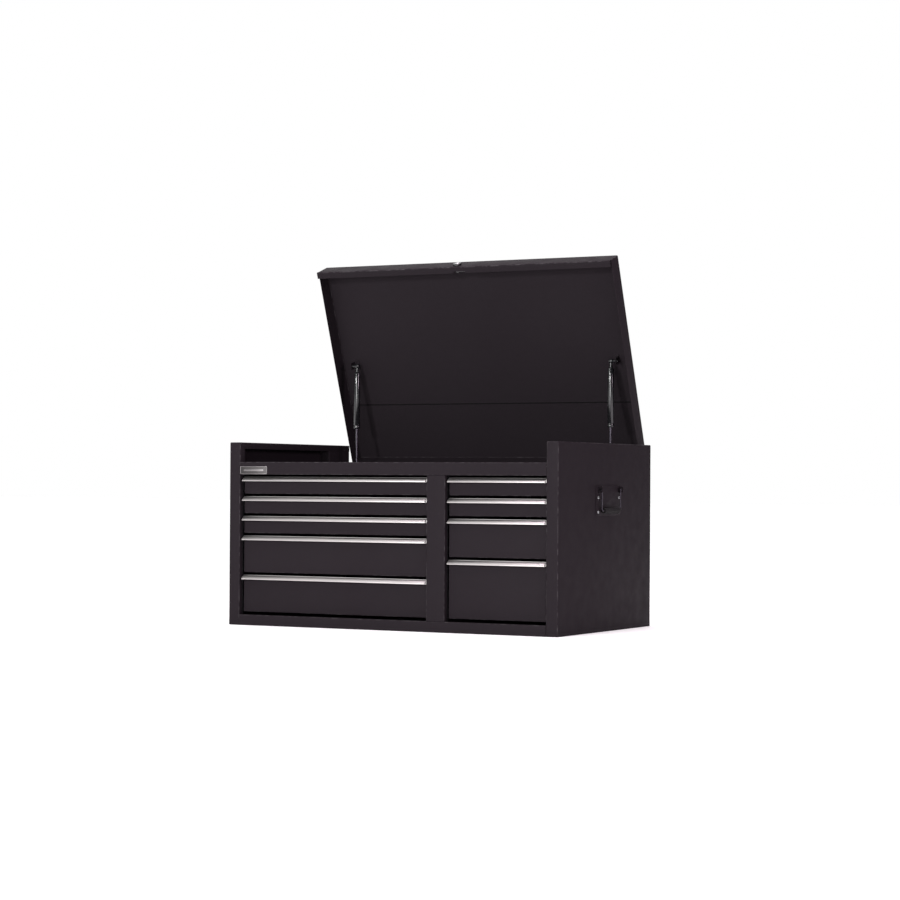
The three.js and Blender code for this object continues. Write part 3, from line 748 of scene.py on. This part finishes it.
def drawer_pull(bank, number):
    """Extruded pull: a plate on the drawer's face and a curved nose that slopes forward."""
    name = f"{bank}_drawer_{number}_pull"
    low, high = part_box(name)
    wall = 1.6 * MM
    nose, tall = high.y - low.y, high.z - low.z
    lip = 2.6 * MM  # upright part at the bottom of the nose

    def nose_curve(start, bend, end, steps):
        points = []
        for i in range(steps + 1):
            t = i / steps
            share = ((1 - t) ** 2, 2 * t * (1 - t), t * t)
            points.append(
                tuple(sum(w * p[k] for w, p in zip(share, (start, bend, end))) for k in (0, 1))
            )
        return points

    # (forward, up) from the plate's back face and the pull's upper edge
    brow = (1.8 * MM, -1.3 * MM)  # where the plate's rounded upper edge ends
    outer = [(1.1 * MM, 0)] + nose_curve(brow, (nose * 0.62, -3.4 * MM), (nose, lip - tall), 10)
    inner = nose_curve((nose - wall, lip - tall), (nose * 0.5, -5.4 * MM), (wall, -3.2 * MM), 8)
    toe = arc((nose - wall / 2, wall / 2 - tall), wall / 2, 0, -180, 6)
    section = [(0, -0.6 * MM), *outer, *toe, *inner, (wall, -tall), (0, -tall)]
    outline = [(high.z + up, high.y - forward) for forward, up in section]
    piece(name, prism(outline_yz(outline), X, (low.x, high.x), 0.25 * MM), "aluminium",
          f"{bank}_drawer_{number}", [name])


def outline_yz(points):
    """Swaps (z, y) pairs into the (y, z) order that a prism along X counts in."""
    return [(y, z) for z, y in points]


# ================================================================== piano hinge
KNUCKLES = 37
BARREL = 3 * MM
PIN = 1.1 * MM


def hinge_leaf(name, body, direction, place):
    """A leaf whose knuckles alternate with the other leaf's, in the hinge's own frame."""
    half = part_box("hinge_pin")[1].x
    outer = BACK - HINGE.y
    plate = (outer - SHEET, outer)
    width = 24 * MM
    limits = sorted((direction * (BARREL + 0.3 * MM), direction * width))
    parts = [block((-half, plate[0], limits[0]), (half, plate[1], limits[1]), 0.3 * MM, 1)]
    pitch = 2 * half / KNUCKLES
    for i in range(0 if direction < 0 else 1, KNUCKLES, 2):
        start = -half + i * pitch + CLEAR
        length = pitch - 2 * CLEAR
        ring = [(PIN + 0.2 * MM, 0), (BARREL - 0.3 * MM, 0), (BARREL, 0.3 * MM)]
        ring += [(BARREL, length - 0.3 * MM), (BARREL - 0.3 * MM, length)]
        ring += [(PIN + 0.2 * MM, length), (PIN + 0.2 * MM, 0)]
        parts.append(turned_tube(ring, (start, 0, 0), (1, 0, 0), 20))
        tie = sorted((0, direction * (BARREL + 2 * MM)))
        parts.append(
            block((start, plate[0], tie[0]), (start + length, plate[1], tie[1]), 0.15 * MM, 1)
        )
    rivets = 9
    for i in range(rivets):
        across = -half + 2 * half * (i + 0.5) / rivets
        middle = direction * (BARREL + width) / 2
        parts.append(rivet((across, outer, middle), (0, 1, 0), 2.8 * MM))
    piece(name, merged(*parts), "paint", body, [name], place)


def turned_tube(ring, place, direction, steps):
    """A turned piece whose profile closes on itself instead of on the axis."""
    mesh = turned(ring, place, direction, steps)
    caps = [face for face in mesh.faces if len(face.verts) == steps]
    bmesh.ops.delete(mesh, geom=caps, context="FACES_ONLY")
    bmesh.ops.remove_doubles(mesh, verts=mesh.verts, dist=0.001 * MM)
    bmesh.ops.recalc_face_normals(mesh, faces=mesh.faces)
    return mesh


def hinge_pin():
    """Pin with chamfered ends, through all the knuckles."""
    low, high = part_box("hinge_pin")
    tip = 0.4 * MM
    length = high.x - low.x
    profile = [(0, 0), (PIN - tip, 0), (PIN, tip), (PIN, length - tip), (PIN - tip, length)]
    pin = turned(profile + [(0, length)], (low.x, HINGE.y, HINGE.z), (1, 0, 0), 16)
    piece("hinge_pin", pin, "zinc", "case", ["hinge_pin"])


# ================================================================== lid
LID_SIDE_DROP = 50 * MM
LID_LIP = 19 * MM
LID_FOLD = 3 * MM


def lid_shell():
    """Pan with flanges all round; the front flange returns in a lip with the cam's slot."""
    low, high = lid_box("lid_shell")
    across, deep = (low.x, high.x), (low.y, high.y)
    side_low = high.z - LID_SIDE_DROP
    rear_low = 5 * MM
    cam_low, cam_high = lid_box("lock_cam")
    slot_across = (cam_low.x, cam_high.x + CAM_SLOT_CLEAR)
    cam_middle = (cam_low.y + cam_high.y) / 2
    slot_deep = (cam_middle - CAM_SLOT_HALF, min(cam_middle + CAM_SLOT_HALF, low.y + LID_LIP))
    skin = [
        rect(Z, high.z, across, deep, 1),
        rect(Y, low.y, across, (low.z, high.z), -1),
        rect(Y, high.y, across, (rear_low, high.z), 1),
        rect(X, low.x, deep, (side_low, high.z), -1),
        rect(X, high.x, deep, (side_low, high.z), 1),
        rect(Z, low.z, (low.x, slot_across[0]), (low.y, low.y + LID_LIP), -1),
        rect(Z, low.z, (slot_across[1], high.x), (low.y, low.y + LID_LIP), -1),
        rect(Z, low.z, slot_across, (low.y, slot_deep[0]), -1),
    ]
    piece("lid_shell", folded_sheet(skin, LID_FOLD), "paint", "lid", ["lid_shell"], LID)


def lid_stiffener():
    """Angle along the hinge, spot-welded under the lid's rear, with a near-black bead of painted seam
    shade at its front edge.
    """
    low, high = lid_box("lid_stiffener")
    half, front, rear, top = high.x, low.y, high.y, high.z
    skin = [
        rect(Z, top - SHEET, (-half, half), (front, rear - SHEET), -1),
        rect(Y, rear - SHEET, (-half, half), (low.z, top - SHEET), -1),
    ]
    parts = [folded_sheet(skin, 2 * MM)]
    welds = 12
    weld_line = front + 10 * MM
    for i in range(welds):
        across = -half + 2 * half * (i + 0.5) / welds
        dimple = [(3.4 * MM, 0), (3.0 * MM, 0.18 * MM), (0, 0.1 * MM)]
        place = (across, weld_line, top - SHEET)
        parts.append(turned(dimple, place, (0, 0, -1), 20))
    piece("lid_stiffener", merged(*parts), "paint", "lid", ["lid_stiffener"], LID)
    # The bead's near-black colour paints the shade of the seam at the stiffener's front edge.
    bead_width, bead_height = 3 * MM, 1.4 * MM
    bead = block((-half, front - bead_width, top - bead_height), (half, front, top), 0.5 * MM)
    piece("lid_seam_shade_bead", bead, "shade bead", "lid", place=LID)


def lock():
    """Key cylinder in a dark bezel, its keyway a near-black bar of painted shade, and the cam held on
    its back by a nut.
    """
    low, high = lid_box("lock_cylinder")
    cam_low, cam_high = lid_box("lock_cam")
    centre = Vector(((low.x + high.x) / 2, 0, (low.z + high.z) / 2))
    radius = (high.x - low.x) / 2
    face, length = low.y, high.y - low.y
    barrel, flange = 9.5 * MM, 7 * MM
    plug_radius = 0.5 * radius

    def at(depth):
        return (centre.x, depth, centre.z)

    bore = plug_radius + 0.1 * MM
    bezel = [(bore, 1.2 * MM), (bore + 0.4 * MM, 0.8 * MM), (0.82 * radius, 0.6 * MM)]
    bezel += [(0.95 * radius, 1.0 * MM), (radius, 1.6 * MM), (radius, flange), (barrel, flange)]
    bezel += [(barrel, length), (bore, length), (bore, 1.2 * MM)]
    plug = [(0, 0), (plug_radius - 0.5 * MM, 0), (plug_radius, 0.5 * MM)]
    plug += [(plug_radius, length), (0, length)]
    case = turned_tube(bezel, at(face), (0, 1, 0), 40)
    piece("lock_bezel", case, "black steel", "lock", place=LID)
    piece("lock_cylinder", turned(plug, at(face), (0, 1, 0), 32), "chrome", "lock",
          ["lock_cylinder"], LID)
    # A near-black bar on the plug's face paints the shade of the keyway's slot; no slot is cut.
    half_slot, half_width = 3.4 * MM, 0.6 * MM
    slot = block(
        (centre.x - half_slot, face - 0.05 * MM, centre.z - half_width),
        (centre.x + half_slot, face + 0.3 * MM, centre.z + half_width), 0.04 * MM, 1,
    )
    piece("lock_keyway_painted_shade", slot, "black steel", "lock", place=LID)
    boss_radius, half_arm = 8 * MM, 5 * MM
    arm = rounded_rectangle(
        (centre.x - boss_radius, cam_high.x), (centre.z - half_arm, centre.z + half_arm), 4.5 * MM
    )
    cam = prism([(z, x) for x, z in arm], Y, (cam_low.y, cam_high.y), 0.3 * MM)
    thick = cam_high.y - cam_low.y
    boss = [(0, 0), (boss_radius, 0), (boss_radius, thick), (0, thick)]
    nut = [(0, 0), (5.5 * MM, 0), (5.5 * MM, 2.2 * MM), (4.4 * MM, 2.8 * MM), (0, 2.8 * MM)]
    parts = [cam, turned(boss, at(cam_low.y), (0, 1, 0), 32)]
    parts.append(turned(nut, at(cam_high.y), (0, 1, 0), 6))
    piece("lock_cam", merged(*parts), "black steel", "lock", ["lock_cam"], LID)


# ================================================================== gas struts
SOCKET_RADIUS = 6.5 * MM
SOCKET_HALF = 6 * MM  # half length of an end fitting across the strut


def end_fitting(centre, stem, stem_length):
    """Ball socket across the strut, with a ringed stem along it."""
    radius, half = SOCKET_RADIUS, SOCKET_HALF
    barrel = [(0, -half), (4.5 * MM, -half), (6 * MM, -half + 1 * MM), (radius, -half + 2.2 * MM)]
    barrel += [(radius, half - 2.2 * MM), (6 * MM, half - 1 * MM), (4.5 * MM, half), (0, half)]
    ring = [(0, 0), (4.2 * MM, 0), (4.2 * MM, stem_length - 6 * MM), (5.4 * MM, stem_length - 5 * MM)]
    ring += [(5.4 * MM, stem_length - 2 * MM), (4.6 * MM, stem_length - 1 * MM)]
    ring += [(4.6 * MM, stem_length), (0, stem_length)]
    return merged(turned(barrel, centre, (1, 0, 0), 32), turned(ring, centre, stem, 28))


def strut(word):
    """Dark steel rod below, black tube above, each with its end fitting."""
    rod_low, rod_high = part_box(f"strut_rod_{word}")
    tube_low, tube_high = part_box(f"strut_tube_{word}")
    x = (tube_low.x + tube_high.x) / 2
    y = (tube_low.y + tube_high.y) / 2
    radius = (tube_high.x - tube_low.x) / 2
    upper = tube_high.z - SOCKET_RADIUS
    lower = rod_low.z + SOCKET_RADIUS
    top_below_ball = 18 * MM
    bottom, top = tube_low.z, upper - top_below_ball
    length = top - bottom
    crimp = 0.7 * MM
    tube = [(4.4 * MM, 1 * MM), (4.6 * MM, 0), (radius - 1.6 * MM, 0), (radius - 0.4 * MM, 0.8 * MM)]
    tube += [(radius, 2 * MM), (radius, 9 * MM), (radius - crimp, 10.2 * MM)]
    tube += [(radius - crimp, 11.4 * MM), (radius, 12.6 * MM), (radius, length - 5 * MM)]
    tube += [(radius - 0.8 * MM, length - 2 * MM), (radius - 3 * MM, length - 0.4 * MM)]
    tube += [(4.5 * MM, length), (0, length)]
    barrel = turned([(0, 1 * MM)] + tube, (x, y, bottom), (0, 0, 1), 40)
    body = f"strut_tube_{word}"
    piece(body, barrel, "black steel", body, [body])
    fitting = end_fitting((x, y, upper), (0, 0, -1), 18.5 * MM)
    piece(f"strut_upper_socket_{word}", fitting, "black steel", body)
    body = f"strut_rod_{word}"
    rod_length = rod_high.z - lower - 8 * MM
    rod = [(0, 0), (4 * MM, 0), (4 * MM, rod_length), (0, rod_length)]
    piece(body, turned(rod, (x, y, lower), (0, 0, 1), 28), "dark steel", body, [body])
    fitting = end_fitting((x, y, lower), (0, 0, 1), 17 * MM)
    piece(f"strut_lower_socket_{word}", fitting, "black steel", body)


def strut_bracket(name, body, side, low, high, stud, foot_up, place):
    """Angle bracket: an ear that carries the ball stud, and a riveted foot."""
    thick = 1.6 * MM
    ear_half, foot_half, foot_reach, rivet_spread = 10 * MM, 15 * MM, 17.2 * MM, 9.5 * MM
    outer, inner = sorted((low.x, high.x), key=abs, reverse=True)
    ear_inner = outer - side * thick
    foot = high.z if foot_up else low.z
    ear_end = low.z if foot_up else high.z
    way = 1 if foot_up else -1
    ear = rounded_rectangle((stud.y - ear_half, stud.y + ear_half),
                            (ear_end, foot - way * 1 * MM), 4 * MM)
    foot_inner = side * (abs(outer) - foot_reach)
    plate = rounded_rectangle((foot_inner, outer), (stud.y - foot_half, stud.y + foot_half), 3 * MM)
    length = abs(outer - inner)
    shank = [(0, -2.5 * MM), (3 * MM, -2.5 * MM), (3.4 * MM, 0), (4.6 * MM, 0.2 * MM)]
    shank += [(4.6 * MM, 2.4 * MM), (3.4 * MM, 2.8 * MM), (3.4 * MM, length - 1 * MM)]
    shank += [(3.2 * MM, length), (0, length)]
    parts = [
        prism(ear, X, sorted((ear_inner, outer)), 0.3 * MM),
        prism(plate, Z, sorted((foot, foot - way * thick)), 0.3 * MM),
    ]
    for end in (-1, 1):
        spot = ((foot_inner + ear_inner) / 2, stud.y + end * rivet_spread, foot - way * thick)
        parts.append(rivet(spot, (0, 0, -way), 3 * MM))
    piece(name, merged(*parts), "paint", body, [name], place)
    stud_mesh = turned(shank, (outer, stud.y, stud.z), (-side, 0, 0), 28)
    piece(name + "_stud", stud_mesh, "black steel", body, place=place)


def strut_brackets(word, side):
    """The bracket on the case and the one on the lid, each round its own end of the strut."""
    name = f"strut_lower_bracket_{word}"
    low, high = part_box(name)
    stud = Vector(JOINTS[f"strut_{word}_pivot"]["pos_m"])
    strut_bracket(name, "case", side, low, high, stud, False, None)
    name = f"strut_upper_bracket_{word}"
    low, high = lid_box(name)
    tube_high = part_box(f"strut_tube_{word}")[1]
    upper = LID.inverted() @ Vector((stud.x, stud.y, tube_high.z - SOCKET_RADIUS))
    strut_bracket(name, "lid", side, low, high, upper, True, LID)


# ================================================================== side handles
def handle(word, side):
    """Plate with two ears, a bent dark steel bail and its ribbed grip."""
    name = f"handle_plate_{word}"
    low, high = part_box(name)
    swing = Vector(JOINTS[f"handle_{word}_swing"]["pos_m"])
    middle = (low.y + high.y) / 2
    face = sorted((low.x, high.x), key=abs)[0]
    outline = rounded_rectangle((low.y, high.y), (low.z, high.z), 9 * MM)
    thick = 1.5 * MM
    outer = face + side * thick
    parts = [prism(outline, X, sorted((face, outer)), 0.4 * MM)]
    ear_out = sorted((low.x, high.x), key=abs)[1]
    ear_from, ear_to = 67 * MM, 69.5 * MM
    for end in (-1, 1):
        at = sorted((middle + end * ear_from, middle + end * ear_to))
        ear = rounded_rectangle((swing.z - 9 * MM, swing.z + 9 * MM), (face, ear_out), 5 * MM)
        parts.append(prism(ear, Y, at, 0.3 * MM))
    piece(name, merged(*parts), "paint", "case", [name])
    screw_y, screw_z = 68 * MM, 20 * MM
    screws_middle = (low.z + high.z) / 2 - 12 * MM
    screws = [
        pan_screw((outer, middle + a * screw_y, screws_middle + b * screw_z), (side, 0, 0), 4.2 * MM)
        for a in (-1, 1) for b in (-1, 1)
    ]
    piece(f"handle_screws_{word}", merged(*screws), "zinc", "case")
    bail_name = f"handle_bail_{word}"
    bail_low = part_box(bail_name)[0]
    grip_radius = 8 * MM
    leg, rod = 61 * MM, 4 * MM
    grip_z = bail_low.z + grip_radius
    pivot = 10 * MM  # the bail's ends reach this far into the ears
    path = [
        (swing.x, middle - leg - pivot, swing.z), (swing.x, middle - leg, swing.z),
        (swing.x, middle - leg, grip_z), (swing.x, middle + leg, grip_z),
        (swing.x, middle + leg, swing.z), (swing.x, middle + leg + pivot, swing.z),
    ]
    thinner = 0.9 * MM
    bail = rod_along(rounded_path(path, 6 * MM), rod - thinner, 20)
    piece(bail_name, bail, "dark steel", bail_name, [bail_name])
    piece(f"handle_grip_{word}", ribbed_grip(swing.x, middle, grip_z, grip_radius), "rubber",
          bail_name)


def ribbed_grip(x, middle, z, radius):
    """Moulded sleeve with shallow rings and round shoulders."""
    half, rings, shoulder = 50 * MM, 11, 4 * MM
    groove = radius - 0.8 * MM
    profile = [(0, -half), (radius - 2 * MM, -half), (radius - 0.5 * MM, -half + 1 * MM)]
    pitch = (2 * half - 2 * shoulder) / rings
    for i in range(rings):
        start = -half + shoulder + i * pitch
        profile += [(radius, start), (radius, start + 0.62 * pitch)]
        profile += [(groove, start + 0.72 * pitch), (groove, start + 0.9 * pitch)]
    profile += [(radius - 0.5 * MM, half - 1 * MM), (radius - 2 * MM, half), (0, half)]
    return turned(profile, (x, middle, z), (0, 1, 0), 32)


# ================================================================== the chest
for word, side in SIDES.items():
    side_panel(word, side)
    rear_upright(word, side)
    strut(word)
    strut_brackets(word, side)
    handle(word, side)
bottom_panel()
back_panel()
front_header()
centre_partition()
till_floor()
name_plate()
for bank, count in DRAWERS.items():
    slide_rack(bank, "left", BAYS[bank][0], 1)
    slide_rack(bank, "right", BAYS[bank][1], -1)
    for number in range(1, count + 1):
        drawer(bank, number)
        drawer_pull(bank, number)
hinge_leaf("hinge_leaf_case", "case", -1, Matrix.Translation(HINGE))
hinge_leaf("hinge_leaf_lid", "lid", 1, LID)
hinge_pin()
lid_shell()
lid_stiffener()
lock()


# ================================================================== stage, light and camera
FLOOR_SIZE = 40
FLOOR_BELOW = 0.1 * MM  # keeps the floor clear of the chest's underside
FLOOR_GLOW = 0.2


def floor():
    """Plain pale floor, a little lit from itself so that it stays white."""
    look = Surface("pale_floor", Roughness=0.9, Specular_IOR_Level=0.1)
    look.set("Base Color", look.mix(look.noise(0.6, 3), (0.88, 0.88, 0.88), (0.92, 0.92, 0.92)))
    look.shader.inputs["Emission Color"].default_value = (1, 1, 1, 1)
    look.shader.inputs["Emission Strength"].default_value = FLOOR_GLOW
    mesh = new_mesh()
    bmesh.ops.create_grid(mesh, x_segments=1, y_segments=1, size=FLOOR_SIZE)
    data = bpy.data.meshes.new("floor")
    mesh.to_mesh(data)
    mesh.free()
    data.materials.append(look.material)
    obj = bpy.data.objects.new("floor", data)
    obj.location.z = -FLOOR_BELOW
    bpy.context.scene.collection.objects.link(obj)


# The surroundings as a light: where along an axis of the direction each fade starts and ends,
# and its strength at either end.
DIM_TO_THE_RIGHT = {"From Min": -0.29, "From Max": 0.02, "To Min": 1.0, "To Max": 0.06}
DIM_IN_FRONT = {"From Min": -0.1, "From Max": 0.5, "To Min": 0.5, "To Max": 1.0}
BRIGHT_OVERHEAD = {"From Min": 0.4, "From Max": 0.8, "To Min": 0.0, "To Max": 1.1}


def fade(tree, component, limits):
    """Strength that follows one component of the direction between the limits."""
    made = tree.nodes.new("ShaderNodeMapRange")
    for key, value in limits.items():
        made.inputs[key].default_value = value
    tree.links.new(component, made.inputs["Value"])
    return made.outputs["Result"]


def combined(tree, operation, first, second):
    """Result of a Math node on two sockets."""
    made = tree.nodes.new("ShaderNodeMath")
    made.operation = operation
    tree.links.new(first, made.inputs[0])
    tree.links.new(second, made.inputs[1])
    return made.outputs[0]


def surroundings():
    """White where they are seen; as a light, dimmer to the right and in front."""
    world = bpy.data.worlds.new("studio")
    world.use_nodes = True
    tree = world.node_tree
    direction = tree.nodes.new("ShaderNodeSeparateXYZ")
    generated = tree.nodes.new("ShaderNodeTexCoord").outputs["Generated"]
    tree.links.new(generated, direction.inputs[0])
    across = fade(tree, direction.outputs["X"], DIM_TO_THE_RIGHT)
    ahead = fade(tree, direction.outputs["Y"], DIM_IN_FRONT)
    overhead = fade(tree, direction.outputs["Z"], BRIGHT_OVERHEAD)
    around = combined(tree, "MULTIPLY", across, ahead)
    light = combined(tree, "ADD", around, overhead)
    seen = tree.nodes.new("ShaderNodeLightPath").outputs["Is Camera Ray"]
    background = tree.nodes["Background"]
    tree.links.new(combined(tree, "MAXIMUM", light, seen), background.inputs["Strength"])
    background.inputs["Color"].default_value = (1, 1, 1, 1)
    bpy.context.scene.world = world


WHITE = (1, 1, 1)
ROSE = (1.0, 0.8, 0.93)
LIT_POINT = (0, 0, 0.5)  # every lamp faces this point, in the chest's middle
# Each lamp's name, place, width and height, power in watts, and colour.
LAMPS = [
    ("key", (-0.85, -5.4, 1.85), (0.45, 0.45), 150, WHITE),
    ("fill", (0.7, -5.6, 0.75), (3.2, 1.3), 130, WHITE),
    ("top", (0.2, -0.1, 3.4), (1.6, 1.6), 60, ROSE),
    ("side", (4.5, -0.6, 1.7), (1.2, 1.2), 75, ROSE),
]


def area_light(name, place, size, power, colour):
    """Rectangular lamp that faces the chest."""
    data = bpy.data.lights.new(name, "AREA")
    data.color = colour
    data.shape = "RECTANGLE"
    data.size, data.size_y = size
    data.energy = power
    light = bpy.data.objects.new(name, data)
    light.location = place
    light.rotation_euler = (Vector(LIT_POINT) - Vector(place)).to_track_quat("-Z", "Y").to_euler()
    bpy.context.scene.collection.objects.link(light)


def studio():
    """White surroundings and four soft lamps, shown without any filmic curve."""
    surroundings()
    bpy.context.scene.view_settings.view_transform = "Standard"
    for lamp in LAMPS:
        area_light(*lamp)


# The photographer's place, from a fit to the chest's edges: metres, degrees and millimetres.
CAMERA_PLACE = (3.3231, -6.1147, 0.4081)
CAMERA_YAW, CAMERA_TILT, CAMERA_ROLL = 28.312, 0.775, 0.351
LENS, SENSOR_WIDTH = 97.13, 36
CLIP_NEAR, CLIP_FAR = 0.1, 200


def camera():
    """Stands in front of the chest's right corner, about 0.4 m above the floor."""
    yaw, tilt_up, roll = (math.radians(a) for a in (CAMERA_YAW, CAMERA_TILT, CAMERA_ROLL))
    ahead = Vector((-math.sin(yaw), math.cos(yaw), math.tan(tilt_up))).normalized()
    right = Vector((math.cos(yaw), math.sin(yaw), 0))
    up = right.cross(ahead)
    tipped_right = math.cos(roll) * right + math.sin(roll) * up
    tipped_up = math.cos(roll) * up - math.sin(roll) * right
    data = bpy.data.cameras.new("camera")
    data.lens, data.sensor_width = LENS, SENSOR_WIDTH
    data.clip_start, data.clip_end = CLIP_NEAR, CLIP_FAR
    obj = bpy.data.objects.new("camera", data)
    turn = Matrix((tipped_right, tipped_up, -ahead)).transposed().to_4x4()
    obj.matrix_world = Matrix.Translation(CAMERA_PLACE) @ turn
    bpy.context.scene.collection.objects.link(obj)
    bpy.context.scene.camera = obj


floor()
studio()
camera()
